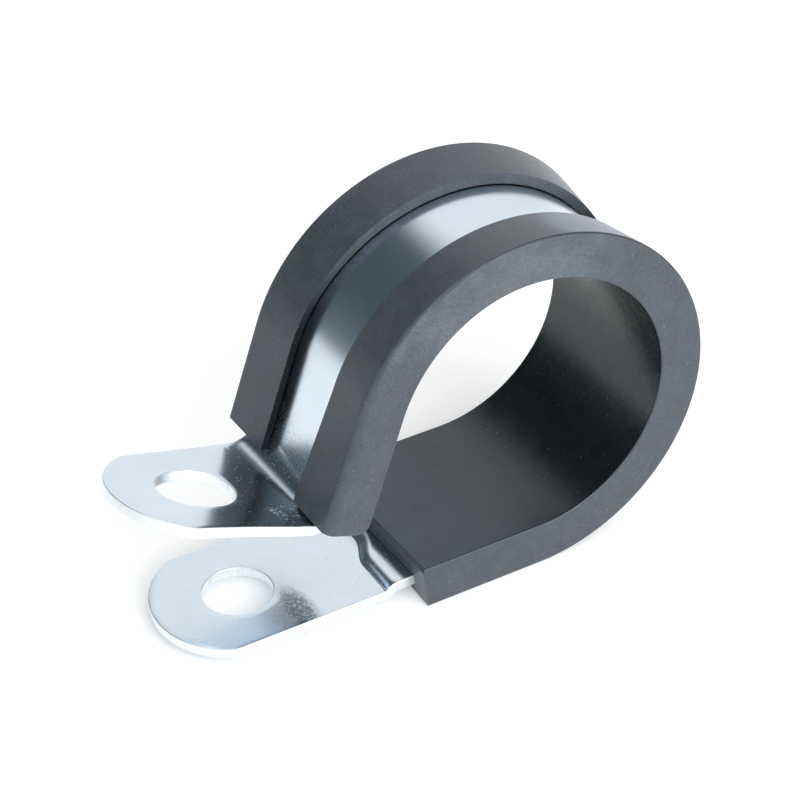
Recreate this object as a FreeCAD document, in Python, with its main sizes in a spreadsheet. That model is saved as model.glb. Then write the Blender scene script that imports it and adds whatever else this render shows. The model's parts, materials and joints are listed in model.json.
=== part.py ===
import FreeCAD, Part
import math
import os
import Sketcher

# P clip for a 25 mm cable: one bent steel strip with an ear at each end, lined with a rubber
# profile of C section that wraps the strip's edges all round the loop.
# The frame: the cable's axis is Y through the origin, Z is up, and both ears point to -X.
# The clip is drawn as it is sold, sprung open: the lower leg runs straight to its ear, and the
# other leg leans out and ends in a bend that carries the upper ear.
doc = FreeCAD.newDocument("p_clip")

SIZES = {
    # the cable space: a true circle, then the wider shoulder of the side that springs open
    "cable_diameter": 25.0,
    "round_span": 106.0,
    "shoulder_radius": 13.8,
    "leg_lean": 20.0,
    "leg_length": 10.7,
    # the steel strip and its two ears
    "band_width": 14.0,
    "band_thickness": 1.0,
    "bend_radius": 0.6,
    "ear_tilt": 18.0,
    "tip_overhang": 0.9,
    "hole_diameter": 6.4,
    "slot_travel": 0.6,
    "lower_hole_reach": 26.0,
    "upper_hole_reach": 8.5,
    # the set in the lower leg, which drops its ear below the lining's wall
    "joggle_reach": 13.1,
    "joggle_height": 0.95,
    "joggle_foot_radius": 0.5,
    "joggle_crest_radius": 2.0,
    # the rubber lining: its wall under the cable, and the lips that hold the strip
    "lining_width": 17.8,
    "lining_wall": 1.6,
    "lining_slip": 0.05,
    "lip_thickness": 1.7,
    "lip_edge": 1.0,
    "lip_gap": 7.2,
    "lower_lining_reach": 12.2,
    "upper_lining_reach": 10.35,
    "lining_skew": 4.6,
    # stock left past a finished end for the cut that trims it
    "trim": 2.0,
}

sheet = doc.addObject("Spreadsheet::Sheet", "Sizes")
for row, (alias, size) in enumerate(SIZES.items(), start=1):
    sheet.set(f"A{row}", alias)
    sheet.set(f"B{row}", str(size))
    sheet.setAlias(f"B{row}", alias)
doc.recompute()

# radii of the strip's inner face, the line on which both pieces are drawn
ROUND = "(Sizes.cable_diameter / 2 + Sizes.lining_wall)"
SHOULDER = "(Sizes.shoulder_radius + Sizes.lining_wall)"
BEND = "(Sizes.bend_radius + Sizes.band_thickness)"
# turns of that line, left about the cable and right at the bend
ROUND_TURN = "Sizes.round_span * 1 deg"
SHOULDER_TURN = "(270 - Sizes.leg_lean - Sizes.round_span) * 1 deg"
BEND_TURN = "(90 - Sizes.leg_lean + Sizes.ear_tilt) * 1 deg"
JOGGLE = "(Sizes.joggle_foot_radius + Sizes.joggle_crest_radius)"
JOGGLE_TURN = f"acos(1 - Sizes.joggle_height / {JOGGLE})"
JOGGLE_RUN = f"{JOGGLE} * sin({JOGGLE_TURN})"
EAR_LEVEL = f"({ROUND} + Sizes.joggle_height)"
TIP_RADIUS = "(Sizes.band_width / 2 + Sizes.tip_overhang)"
HALF_BAND = "(Sizes.band_width / 2)"
HALF_LINING = "(Sizes.lining_width / 2)"
SKEW_RISE = f"tan(Sizes.lining_skew * 1 deg) * {HALF_LINING}"

LINING_DEPTH = "(4 * (Sizes.lining_wall + Sizes.band_thickness + Sizes.lip_thickness))"

LEFT, RIGHT = 1, -1
START, END, CENTRE = 1, 2, 3
ORIGIN = (-1, 1)


def number(expression):
    """The present value of an expression, in mm or degrees."""
    found = sheet.evalExpression(expression)
    return float(getattr(found, "Value", found))


def bind(sketch, kind, *where, value):
    """A dimension of the sketch that follows an expression."""
    size = math.radians(number(value)) if kind == "Angle" else number(value)
    index = sketch.addConstraint(Sketcher.Constraint(kind, *where, size))
    sketch.setExpression(f"Constraints[{index}]", value)


def reference(sketch, name, kind, *where):
    """A named dimension that only reports where the sketch puts a point."""
    index = sketch.addConstraint(Sketcher.Constraint(kind, *where, 0.0))
    sketch.setDriving(index, False)
    sketch.renameConstraint(index, name)


def new_sketch(body, name, role, **offset):
    """A sketch on one of the body's own origin planes, moved by offset expressions."""
    plane = next(item for item in body.Origin.OriginFeatures if item.Role == role)
    sketch = body.newObject("Sketcher::SketchObject", name)
    sketch.AttachmentSupport = [(plane, "")]
    sketch.MapMode = "FlatFace"
    if "turn" in offset:
        sketch.AttachmentOffset = FreeCAD.Placement(
            FreeCAD.Vector(), FreeCAD.Rotation(FreeCAD.Vector(0, 1, 0), number(offset["turn"])))
        sketch.setExpression("AttachmentOffset.Rotation.Angle", offset["turn"])
    for axis in "xyz":
        if axis in offset:
            sketch.setExpression("AttachmentOffset.Base." + axis, offset[axis])
    return sketch


def pin(sketch, point, across, along):
    """Holds a point of the sketch at two expressions from its origin."""
    bind(sketch, "DistanceX", *ORIGIN, *point, value=across)
    bind(sketch, "DistanceY", *ORIGIN, *point, value=along)


def straight_lines(sketch, corners):
    """Straight lines from each corner to the next, with corners given as pairs of expressions."""
    spots = [FreeCAD.Vector(number(across), number(along)) for across, along in corners]
    lines = []
    for here, there in zip(spots, spots[1:]):
        lines.append(sketch.addGeometry(Part.LineSegment(here, there)))
    for line, after in zip(lines, lines[1:]):
        sketch.addConstraint(Sketcher.Constraint("Coincident", line, END, after, START))
    return lines


def outline(sketch, corners):
    """A closed outline of straight lines, pinned at its corners."""
    lines = straight_lines(sketch, corners + corners[:1])
    sketch.addConstraint(Sketcher.Constraint("Coincident", lines[-1], END, lines[0], START))
    for line, (across, along) in zip(lines, corners):
        pin(sketch, (line, START), across, along)


def strip_path(sketch, across, along, runs):
    """A smooth open line: it starts level at a point, then follows straight runs and turns."""
    here = FreeCAD.Vector(number(across), number(along))
    heading = 0.0
    last = None
    for run in runs:
        ahead = FreeCAD.Vector(math.cos(heading), math.sin(heading))
        if len(run) == 1:
            there = here + ahead * number(run[0])
            piece = sketch.addGeometry(Part.LineSegment(here, there))
            first, final = START, END
            bind(sketch, "Distance", piece, value=run[0])
        else:
            radius, turn, side = run
            reach = number(radius)
            swing = side * math.radians(number(turn))
            centre = here + FreeCAD.Vector(-ahead.y, ahead.x) * side * reach
            angle = heading - side * math.pi / 2
            circle = Part.Circle(centre, FreeCAD.Vector(0, 0, 1), reach)
            low, high = sorted((angle, angle + swing))
            piece = sketch.addGeometry(Part.ArcOfCircle(circle, low, high))
            first, final = (START, END) if side == LEFT else (END, START)
            heading += swing
            there = centre + FreeCAD.Vector(math.sin(heading), -math.cos(heading)) * side * reach
            bind(sketch, "Radius", piece, value=radius)
            bind(sketch, "Angle", piece, value=turn)
        if last is None:
            sketch.addConstraint(Sketcher.Constraint("Horizontal", piece))
            pin(sketch, (piece, first), across, along)
        else:
            sketch.addConstraint(Sketcher.Constraint("Tangent", *last, piece, first))
        last = (piece, final)
        here = there
    return last


def sweep(body, name, section, path):
    """The section carried along the whole path."""
    pipe = body.newObject("PartDesign::AdditivePipe", name)
    pipe.Profile = (section, [""])
    pipe.Spine = (path, [])
    pipe.Refine = True
    doc.recompute()
    return pipe


def cut_both_ways(body, sketch, depth):
    """A pocket that reaches the same way to both sides of its sketch."""
    whole = body.Tip.Shape.Volume
    pocket = body.newObject("PartDesign::Pocket", sketch.Name + "Cut")
    pocket.Profile = sketch
    pocket.SideType = "Symmetric"
    pocket.Type = "Length"
    pocket.setExpression("Length", depth)
    doc.recompute()
    if pocket.Shape.Volume >= whole:
        raise RuntimeError(sketch.Name + " removed nothing")


def ear_cut(body, name, travel, **offset):
    """Rounds an ear's end about its hole and cuts the hole, or the slot of the given travel.

    The sketch has its origin at the hole, with the ear's end to -X.
    """
    sketch = new_sketch(body, name, "XY_Plane", **offset)
    corner = f"-sqrt({TIP_RADIUS} ^ 2 - {HALF_BAND} ^ 2)"
    beyond = f"-({TIP_RADIUS} + 2 * Sizes.trim)"
    side = f"({HALF_BAND} + Sizes.trim)"
    stops = [
        (corner, f"-{HALF_BAND}"), (corner, f"-{side}"), (beyond, f"-{side}"),
        (beyond, side), (corner, side), (corner, HALF_BAND),
    ]
    lines = straight_lines(sketch, stops)
    for line, (across, along) in zip(lines[1:], stops[1:]):
        pin(sketch, (line, START), across, along)
    for line in (lines[0], lines[-1]):
        sketch.addConstraint(Sketcher.Constraint("Vertical", line))
    round_end = Part.Circle(FreeCAD.Vector(), FreeCAD.Vector(0, 0, 1), number(TIP_RADIUS))
    flare = math.atan2(number(HALF_BAND), -number(corner))
    tip = sketch.addGeometry(Part.ArcOfCircle(round_end, math.pi - flare, math.pi + flare))
    sketch.addConstraint(Sketcher.Constraint("Coincident", tip, CENTRE, *ORIGIN))
    sketch.addConstraint(Sketcher.Constraint("Coincident", tip, START, lines[-1], END))
    sketch.addConstraint(Sketcher.Constraint("Coincident", tip, END, lines[0], START))
    bind(sketch, "Radius", tip, value=TIP_RADIUS)
    radius = "Sizes.hole_diameter / 2"
    if travel is None:
        circle = Part.Circle(FreeCAD.Vector(), FreeCAD.Vector(0, 0, 1), number(radius))
        hole = sketch.addGeometry(circle)
        sketch.addConstraint(Sketcher.Constraint("Coincident", hole, CENTRE, *ORIGIN))
        bind(sketch, "Radius", hole, value=radius)
    else:
        slot(sketch, radius, travel)
    cut_both_ways(body, sketch, "4 * Sizes.band_thickness")


def slot(sketch, radius, travel):
    """A slot about the sketch's origin, longer than its width by the travel along X."""
    far, half = number(radius), number(travel) / 2
    ends = []
    for way, turned in ((-1, math.pi / 2), (1, -math.pi / 2)):
        circle = Part.Circle(FreeCAD.Vector(way * half, 0), FreeCAD.Vector(0, 0, 1), far)
        ends.append(sketch.addGeometry(Part.ArcOfCircle(circle, turned, turned + math.pi)))
        pin(sketch, (ends[-1], CENTRE), f"{way} * {travel} / 2", "0")
    low = sketch.addGeometry(Part.LineSegment(
        FreeCAD.Vector(-half, -far), FreeCAD.Vector(half, -far)))
    high = sketch.addGeometry(Part.LineSegment(
        FreeCAD.Vector(half, far), FreeCAD.Vector(-half, far)))
    sketch.addConstraint(Sketcher.Constraint("Tangent", ends[0], END, low, START))
    sketch.addConstraint(Sketcher.Constraint("Tangent", low, END, ends[1], START))
    sketch.addConstraint(Sketcher.Constraint("Tangent", ends[1], END, high, START))
    sketch.addConstraint(Sketcher.Constraint("Tangent", high, END, ends[0], START))
    bind(sketch, "Radius", ends[0], value=radius)


def steel_band():
    """The strip: a flat section swept along the bent line, then both ears trimmed and pierced."""
    body = doc.addObject("PartDesign::Body", "SteelBand")
    body.Label = "steel_band"
    first = f"-(Sizes.lower_hole_reach + {TIP_RADIUS} + Sizes.trim)"
    path = new_sketch(body, "BandPath", "XZ_Plane")
    ear_end, ear_end_point = strip_path(path, first, f"-{EAR_LEVEL}", [
        (f"-{first} - Sizes.joggle_reach - {JOGGLE_RUN}",),
        ("Sizes.joggle_foot_radius", JOGGLE_TURN, LEFT),
        ("Sizes.joggle_crest_radius", JOGGLE_TURN, RIGHT),
        ("Sizes.joggle_reach",),
        (ROUND, ROUND_TURN, LEFT),
        (SHOULDER, SHOULDER_TURN, LEFT),
        ("Sizes.leg_length",),
        (BEND, BEND_TURN, RIGHT),
        (f"Sizes.upper_hole_reach + {TIP_RADIUS} + Sizes.trim",),
    ])
    reference(path, "ear_end_x", "DistanceX", *ORIGIN, ear_end, ear_end_point)
    reference(path, "ear_end_z", "DistanceY", *ORIGIN, ear_end, ear_end_point)
    section = new_sketch(body, "BandSection", "YZ_Plane", z=first)
    under = f"-({EAR_LEVEL} + Sizes.band_thickness)"
    outline(section, [
        (f"-{HALF_BAND}", under), (HALF_BAND, under),
        (HALF_BAND, f"-{EAR_LEVEL}"), (f"-{HALF_BAND}", f"-{EAR_LEVEL}"),
    ])
    sweep(body, "BandSweep", section, path)
    ear_cut(body, "LowerEar", None, x="-Sizes.lower_hole_reach",
            z=f"-({EAR_LEVEL} + Sizes.band_thickness / 2)")
    past = f"({TIP_RADIUS} + Sizes.trim)"
    ear_cut(body, "UpperEar", "Sizes.slot_travel", turn="Sizes.ear_tilt",
            x=f"BandPath.Constraints.ear_end_x + {past} * 1 mm * cos(Sizes.ear_tilt * 1 deg)",
            z=f"BandPath.Constraints.ear_end_z - {past} * 1 mm * sin(Sizes.ear_tilt * 1 deg)")
    return body


def rubber_lining():
    """The lining: a C section swept round the loop, its free end sheared out of square."""
    body = doc.addObject("PartDesign::Body", "RubberLining")
    body.Label = "rubber_lining"
    path = new_sketch(body, "LiningPath", "XZ_Plane")
    leg_end, leg_end_point = strip_path(path, "-Sizes.lower_lining_reach", f"-{ROUND}", [
        ("Sizes.lower_lining_reach",),
        (ROUND, ROUND_TURN, LEFT),
        (SHOULDER, SHOULDER_TURN, LEFT),
        (f"Sizes.upper_lining_reach + {SKEW_RISE} + Sizes.trim",),
    ])
    reference(path, "leg_end_x", "DistanceX", *ORIGIN, leg_end, leg_end_point)
    reference(path, "leg_end_z", "DistanceY", *ORIGIN, leg_end, leg_end_point)
    section = new_sketch(body, "LiningSection", "YZ_Plane", z="-Sizes.lower_lining_reach")
    bore = "-Sizes.cable_diameter / 2"
    top = f"-({ROUND} - Sizes.lining_slip)"
    seat = f"-({ROUND} + Sizes.band_thickness + Sizes.lining_slip)"
    lip = f"-({ROUND} + Sizes.band_thickness + Sizes.lip_edge)"
    base = f"-({ROUND} + Sizes.band_thickness + Sizes.lip_thickness)"
    channel = f"({HALF_BAND} + Sizes.lining_slip)"
    gap = "(Sizes.lip_gap / 2)"
    right_side = [
        (HALF_LINING, bore), (HALF_LINING, base), (gap, lip), (gap, seat),
        (channel, seat), (channel, top),
    ]
    left_side = [("-" + across, along) for across, along in reversed(right_side)]
    outline(section, right_side + left_side)
    sweep(body, "LiningSweep", section, path)
    # this sketch lies along the leg, with the swept end at its origin and the stock to -X
    shear = new_sketch(body, "LiningShear", "XY_Plane", turn="90 + Sizes.leg_lean",
                       x="LiningPath.Constraints.leg_end_x", z="LiningPath.Constraints.leg_end_z")
    past = f"({HALF_LINING} + Sizes.trim)"
    slope = "tan(Sizes.lining_skew * 1 deg)"
    stock = f"({SKEW_RISE} + Sizes.trim)"
    outline(shear, [
        (f"-{stock} + {slope} * {past}", f"-{past}"), ("Sizes.trim", f"-{past}"),
        ("Sizes.trim", past), (f"-{stock} - {slope} * {past}", past),
    ])
    cut_both_ways(body, shear, LINING_DEPTH)
    return body


bodies = [steel_band(), rubber_lining()]
doc.recompute()

for item in doc.Objects:
    if "Invalid" in item.State or "Error" in item.State:
        raise RuntimeError(f"{item.Name} failed: {item.State}")
os.makedirs("parts", exist_ok=True)
for body in bodies:
    if body.Shape.isNull() or not body.Shape.isValid() or len(body.Shape.Solids) != 1:
        raise RuntimeError(body.Label + " is not one valid solid")
    print(body.Label, round(body.Shape.Volume, 2), body.Shape.BoundBox)
    body.Shape.exportStep(f"parts/{body.Label}.step")
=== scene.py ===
import json
import math

import bmesh
import bpy
from bpy.props import FloatProperty, FloatVectorProperty, PointerProperty
from bpy.types import Operator, Panel, PropertyGroup
from mathutils import Matrix, Vector


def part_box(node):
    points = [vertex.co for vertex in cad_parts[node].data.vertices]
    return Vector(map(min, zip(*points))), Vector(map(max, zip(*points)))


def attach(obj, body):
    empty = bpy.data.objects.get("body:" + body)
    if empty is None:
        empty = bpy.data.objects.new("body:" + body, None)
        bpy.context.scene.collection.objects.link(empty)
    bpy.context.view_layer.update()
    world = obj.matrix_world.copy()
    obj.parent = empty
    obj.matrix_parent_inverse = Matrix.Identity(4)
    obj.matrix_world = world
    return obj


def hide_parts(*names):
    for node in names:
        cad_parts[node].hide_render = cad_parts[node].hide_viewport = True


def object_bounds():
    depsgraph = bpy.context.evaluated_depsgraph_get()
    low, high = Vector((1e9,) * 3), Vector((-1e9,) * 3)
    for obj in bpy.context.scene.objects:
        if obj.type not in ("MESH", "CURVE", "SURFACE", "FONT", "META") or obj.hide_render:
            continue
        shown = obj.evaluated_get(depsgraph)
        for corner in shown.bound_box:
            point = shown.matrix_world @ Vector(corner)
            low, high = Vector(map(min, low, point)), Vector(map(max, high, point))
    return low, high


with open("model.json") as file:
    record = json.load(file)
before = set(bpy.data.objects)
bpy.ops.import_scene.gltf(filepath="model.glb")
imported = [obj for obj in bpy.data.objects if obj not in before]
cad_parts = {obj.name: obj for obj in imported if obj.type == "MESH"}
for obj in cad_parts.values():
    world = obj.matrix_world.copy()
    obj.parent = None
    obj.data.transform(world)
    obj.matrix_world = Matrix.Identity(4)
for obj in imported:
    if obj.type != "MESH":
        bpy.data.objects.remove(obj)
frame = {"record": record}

bl_info = {
    "name": "Cushioned P clip",
    "version": (1, 0, 0),
    "blender": (4, 5, 0),
    "location": "3D View > Sidebar > P clip",
    "description": "A sprung-open P clip: its bent steel strip, its rubber lining and a studio",
    "category": "Add Mesh",
}

# The clip's frame: the cable's axis is Y through the origin, Z is up, and both ears point to -X.
CAD_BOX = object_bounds()
STRIP_LOW, STRIP_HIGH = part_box("steel_band")
LINING_LOW, LINING_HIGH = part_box("rubber_lining")
MOUNTS = {mount["name"]: mount for mount in frame["record"]["mounts"]}
BORE_RADIUS = MOUNTS["cable_space"]["dims"]["r_mm"] / 1000
BOLT_HOLE = MOUNTS["lower_bolt_hole"]
COLOUR = {"subtype": "COLOR", "size": 3, "min": 0, "max": 1}
LEFT, RIGHT = 1, -1
ARC_STEP = math.radians(2.5)
FEWEST_STEPS = 8
CREASE = math.radians(60)
TOLERANCE = 1e-6
# The share of the lining's wall that moves with the bore, and a height between the lining's two
# ends.
BORE_SHARE = 0.75
BELOW_BORE = -BORE_RADIUS * 0.95
# The lining's finishes, in the order of its material slots.
SKIN, BORE, CUT, WALL = range(4)
# Marks, each as its middle and its reach: the bending tool's scuffs on the upper ear, the bend
# that it dulled and the leg that it worked, both right across the strip, and the painted
# highlight on the front lip.
BEND_MARKS = ((-0.0233, -0.0047, -0.0043), 0.0023)
BEND = ((-0.0204, 0.0, -0.0054), 0.0021)
WORKED_LEG = ((-0.0183, 0.0, -0.0030), 0.0038)
LIP_HIGHLIGHT = ((0.0056, -0.0066, 0.0162), 0.0055)
# The lower ear's painted reflection is long: its middle's Y is scaled by the share that squeezes its
# length.
REFLECTION_SHARE = 0.4
EAR_REFLECTION = ((-0.0224, -0.0020, -0.0150), 0.0017)


class StripSizes(PropertyGroup):
    """The bent steel strip and its two ears"""

    width: FloatProperty(
        name="Strip width", description="Across the strip, along the cable",
        default=STRIP_HIGH.y - STRIP_LOW.y, unit="LENGTH")
    thickness: FloatProperty(
        name="Strip thickness", description="Gauge of the steel",
        default=BOLT_HOLE["dims"]["length_mm"] / 1000, unit="LENGTH")
    edge_round: FloatProperty(
        name="Edge rounding", description="Radius that plating and shearing leave on each edge",
        default=0.0001, unit="LENGTH")
    round_span: FloatProperty(
        name="Round span", description="Turn of the strip about the cable, from the lower leg up",
        default=math.radians(106), subtype="ANGLE")
    shoulder_radius: FloatProperty(
        name="Shoulder radius", description="Bore radius of the side that springs open",
        default=0.0138, unit="LENGTH")
    leg_lean: FloatProperty(
        name="Leg lean", description="Lean of the upper leg out of upright",
        default=math.radians(20), subtype="ANGLE")
    leg_reach: FloatProperty(
        name="Leg reach", description="Along the straight upper leg to the corner it is bent at",
        default=0.0121, unit="LENGTH")
    bend_radius: FloatProperty(
        name="Bend radius", description="Inside radius of the bend, midway along it",
        default=0.0021, unit="LENGTH")
    bend_flare: FloatProperty(
        name="Bend flare", description="What the bend's radius gains towards the back edge",
        default=0.0007, unit="LENGTH")
    ear_tilt: FloatProperty(
        name="Ear tilt", description="Rise of the upper ear towards its tip",
        default=math.radians(18), subtype="ANGLE")
    ear_twist: FloatProperty(
        name="Ear twist", description="Turn of the upper ear's tip about its length, front edge up",
        default=math.radians(5.8), subtype="ANGLE")
    tip_overhang: FloatProperty(
        name="Tip overhang", description="Ear's tip radius beyond half the strip's width",
        default=0.0009, unit="LENGTH")
    hole_radius: FloatProperty(
        name="Hole radius", description="Clearance for the bolt",
        default=BOLT_HOLE["dims"]["r_mm"] / 1000, unit="LENGTH")
    slot_travel: FloatProperty(
        name="Slot travel", description="Length that the upper ear's slot adds to its hole",
        default=0.0006, unit="LENGTH")
    lower_hole_reach: FloatProperty(
        name="Lower hole reach", description="From the cable's axis to the lower hole",
        default=-BOLT_HOLE["pos_m"][0], unit="LENGTH")
    upper_hole_reach: FloatProperty(
        name="Upper hole reach", description="From the corner of the bend to the upper ear's slot",
        default=0.01005, unit="LENGTH")
    root_reach: FloatProperty(
        name="Ear root reach", description="From an ear's hole to where the plain strip starts",
        default=0.0062, unit="LENGTH")
    joggle_reach: FloatProperty(
        name="Set reach", description="From the cable's axis to the set in the lower leg",
        default=0.01367, unit="LENGTH")
    joggle_height: FloatProperty(
        name="Set height", description="Drop of the lower ear below the loop's lowest steel",
        default=0.00095, unit="LENGTH")
    joggle_foot_radius: FloatProperty(
        name="Set foot radius", description="Radius at the foot of the set",
        default=0.0003, unit="LENGTH")
    joggle_crest_radius: FloatProperty(
        name="Set crest radius", description="Radius at the crest of the set",
        default=0.0015, unit="LENGTH")
    set_shift: FloatProperty(
        name="Set shift", description="How much nearer the lining the set lies in its back half",
        default=0.0011, unit="LENGTH")
    droop: FloatProperty(
        name="Lower leg droop", description="Slope of the lower leg, down from the loop to its set",
        default=math.radians(1.5), subtype="ANGLE")


class LiningSizes(PropertyGroup):
    """The rubber channel that wraps the strip round the loop"""

    width: FloatProperty(
        name="Lining width", description="Across the lining, along the cable",
        default=LINING_HIGH.y - LINING_LOW.y, unit="LENGTH")
    wall: FloatProperty(
        name="Wall", description="Rubber between the strip and the cable",
        default=0.0016, unit="LENGTH")
    slip: FloatProperty(
        name="Slip", description="Clearance between the strip and its channel",
        default=0.00005, unit="LENGTH")
    lip_thickness: FloatProperty(
        name="Lip thickness", description="Rubber over the strip at the lining's sides",
        default=0.0017, unit="LENGTH")
    lip_edge: FloatProperty(
        name="Lip edge", description="Rubber over the strip at the inner edge of a lip",
        default=0.001, unit="LENGTH")
    lip_gap: FloatProperty(
        name="Lip gap", description="Bare strip between the two lips",
        default=0.0072, unit="LENGTH")
    lower_reach: FloatProperty(
        name="Lower reach", description="From under the cable's axis to the lining's lower end",
        default=0.0122, unit="LENGTH")
    upper_reach: FloatProperty(
        name="Upper reach", description="Length of lining along the straight upper leg",
        default=0.01035, unit="LENGTH")
    skew: FloatProperty(
        name="End skew", description="How far out of square the upper end is sheared",
        default=math.radians(4.6), subtype="ANGLE")
    upper_round: FloatProperty(
        name="Upper end rounding", description="Radius at the bore's edge of the upper end",
        default=0.0011, unit="LENGTH")
    lower_round: FloatProperty(
        name="Lower end rounding", description="Chamfer at the bore's edge of the lower end",
        default=0.00035, unit="LENGTH")
    corner_round: FloatProperty(
        name="Corner rounding", description="Radius on the lining's long corners",
        default=0.00022, unit="LENGTH")
    slant: FloatProperty(
        name="Lower end slant", description="How far the lower end leans out of upright",
        default=math.radians(7), subtype="ANGLE")
    lower_skew: FloatProperty(
        name="Lower end skew", description="How far the lower end is cut out of square",
        default=math.radians(1.7), subtype="ANGLE")
    front_roll: FloatProperty(
        name="Front roll", description="How far the front side of the leg's lining rolls inwards",
        default=0.0006, unit="LENGTH")
    lip_lift: FloatProperty(
        name="Lip lift", description="How far the bend lifts the end of the front lip",
        default=0.0006, unit="LENGTH")
    lift_start: FloatProperty(
        name="Lift start", description="Along the leg, where the lift of the front lip starts",
        default=0.004, unit="LENGTH")
    lip_undercut: FloatProperty(
        name="Lip undercut", description="How far the back lip's inner wall leans back over the leg",
        default=0.0005, unit="LENGTH")
    leg_corner: FloatProperty(
        name="Leg corner rounding", description="Radius worn on the leg's front outer corner",
        default=0.0009, unit="LENGTH")


class Finishes(PropertyGroup):
    """Colours of the plated steel and the rubber"""

    zinc: FloatVectorProperty(
        name="Zinc", description="Bright bluish plating on the strip's faces",
        default=(0.70, 0.79, 0.88), **COLOUR)
    zinc_cloud: FloatVectorProperty(
        name="Clouded zinc", description="Duller patches in the plating",
        default=(0.66, 0.755, 0.83), **COLOUR)
    shear: FloatVectorProperty(
        name="Sheared edge", description="Plating on the cut edges and the hole walls",
        default=(0.86, 0.90, 0.93), **COLOUR)
    rubber: FloatVectorProperty(
        name="Rubber skin", description="Outer faces of the lining, dulled by handling",
        default=(0.041, 0.049, 0.060), **COLOUR)
    rubber_side: FloatVectorProperty(
        name="Rubber side", description="Paler, rubbed side faces of the lining",
        default=(0.048, 0.057, 0.069), **COLOUR)
    # Clean rubber, made darker still as painted shade inside the loop; the lips' inner walls and the
    # cut ends under the bore take it as painted shade too.
    rubber_bore: FloatVectorProperty(
        name="Rubber bore", description="Clean, darker rubber of the bore and the lips' inner walls",
        default=(0.006, 0.0075, 0.009), **COLOUR)
    # Painted light: the bore's low part beside the mouth, painted paler where light reaches in.
    rubber_lit_mouth: FloatVectorProperty(
        name="Rubber mouth", description="Bore beside the mouth, dulled by dust",
        default=(0.038, 0.046, 0.066), **COLOUR)
    bent_zinc: FloatVectorProperty(
        name="Bent zinc", description="Plating dulled by the bend",
        default=(0.42, 0.50, 0.60), **COLOUR)
    # Painted reflection: the dark, grainy bluish reflection on the lower ear, painted into the
    # plating's colour.
    painted_reflection: FloatVectorProperty(
        name="Stain", description="Dark bluish stain on the lower ear",
        default=(0.11, 0.16, 0.20), **COLOUR)
    dust: FloatVectorProperty(
        name="Dust", description="Pale dust on the rubber",
        default=(0.24, 0.28, 0.29), **COLOUR)


class StudioSettings(PropertyGroup):
    """The camera and the light"""

    azimuth: FloatProperty(
        name="Azimuth", description="Camera's turn about Z, from looking along +Y",
        default=math.radians(-28.92), subtype="ANGLE")
    elevation: FloatProperty(
        name="Elevation", description="Camera's height above the horizon",
        default=math.radians(35.72), subtype="ANGLE")
    roll: FloatProperty(
        name="Roll", description="Camera's turn about its own line of sight",
        default=math.radians(-1.66), subtype="ANGLE")
    distance: FloatProperty(
        name="Distance", description="From the camera to the point it looks at",
        default=0.22, unit="LENGTH")
    aim: FloatVectorProperty(
        name="Aim", description="Point that the camera looks at",
        default=(-0.007824, 0.002232, -0.002545), subtype="TRANSLATION", size=3)
    lens: FloatProperty(
        name="Lens", description="Focal length in millimetres on a 36 mm sensor",
        default=111.38)
    floor_width: FloatProperty(
        name="Floor width", description="Side of the square floor", default=6.0, unit="LENGTH")
    dome: FloatProperty(
        name="Dome", description="Strength of the white dome of light", default=1.0)
    shade: FloatVectorProperty(
        name="Shade", description="Colour of the unlit part of the studio, behind to the left",
        default=(0.065, 0.090, 0.102), **COLOUR)
    shade_low: FloatVectorProperty(
        name="Low shade", description="Colour of the unlit part down at the horizon",
        default=(0.15, 0.185, 0.20), **COLOUR)
    shade_azimuth: FloatProperty(
        name="Shade azimuth", description="Turn of the unlit part's middle from +Y towards -X",
        default=math.radians(42), subtype="ANGLE")
    shade_elevation: FloatProperty(
        name="Shade elevation", description="Height of the unlit part's middle",
        default=math.radians(18), subtype="ANGLE")
    shade_width: FloatProperty(
        name="Shade width", description="Angle from the middle of the unlit part to its edge",
        default=math.radians(45), subtype="ANGLE")
    shade_blur: FloatProperty(
        name="Shade blur", description="Half the width of the unlit part's soft edge",
        default=math.radians(8), subtype="ANGLE")
    shade_rise: FloatProperty(
        name="Shade rise", description="Height, of 1, at which the low shade has given way",
        default=0.45)
    key: FloatProperty(
        name="Front light", description="Power of the soft light in front",
        default=3.0, unit="POWER")
    key_place: FloatVectorProperty(
        name="Front light's place", description="Middle of the soft light in front",
        default=(0.05, -0.55, 0.35), subtype="TRANSLATION", size=3)
    key_width: FloatProperty(
        name="Front light's width", description="Side of the soft light in front",
        default=0.5, unit="LENGTH")


# Modelling

def begin(name, primitive, **settings):
    """Adds a primitive with its place in its mesh, and opens it in edit mode."""
    bpy.ops.object.select_all(action="DESELECT")
    primitive(**settings)
    piece = bpy.context.object
    piece.name = piece.data.name = name
    bpy.ops.object.transform_apply(location=True, rotation=True, scale=True)
    bpy.ops.object.mode_set(mode="EDIT")
    return piece


def pick(piece, kind, test):
    """Selects exactly the vertices, edges or faces that pass a test."""
    bpy.ops.mesh.select_mode(type=kind)
    bpy.ops.mesh.select_all(action="DESELECT")
    shell = bmesh.from_edit_mesh(piece.data)
    items = {"VERT": shell.verts, "EDGE": shell.edges, "FACE": shell.faces}[kind]
    for item in items:
        if test(item):
            item.select_set(True)
    shell.select_flush_mode()
    bmesh.update_edit_mesh(piece.data)


def shape(piece, rule, chosen=None):
    """Moves the selected vertices, or the chosen ones, each to where a rule puts it."""
    shell = bmesh.from_edit_mesh(piece.data)
    for vertex in shell.verts:
        if chosen(vertex) if chosen else vertex.select:
            vertex.co = rule(vertex.co.copy())
    bmesh.update_edit_mesh(piece.data)


def smooth_step(value, low, high):
    """Eases from 0 at the low limit to 1 at the high one."""
    share = min(1.0, max(0.0, (value - low) / (high - low)))
    return share * share * (3 - 2 * share)


def ahead_of(heading):
    """The direction of a heading, turned up from +X in the clip's side view."""
    return Vector((math.cos(heading), 0, math.sin(heading)))


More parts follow.
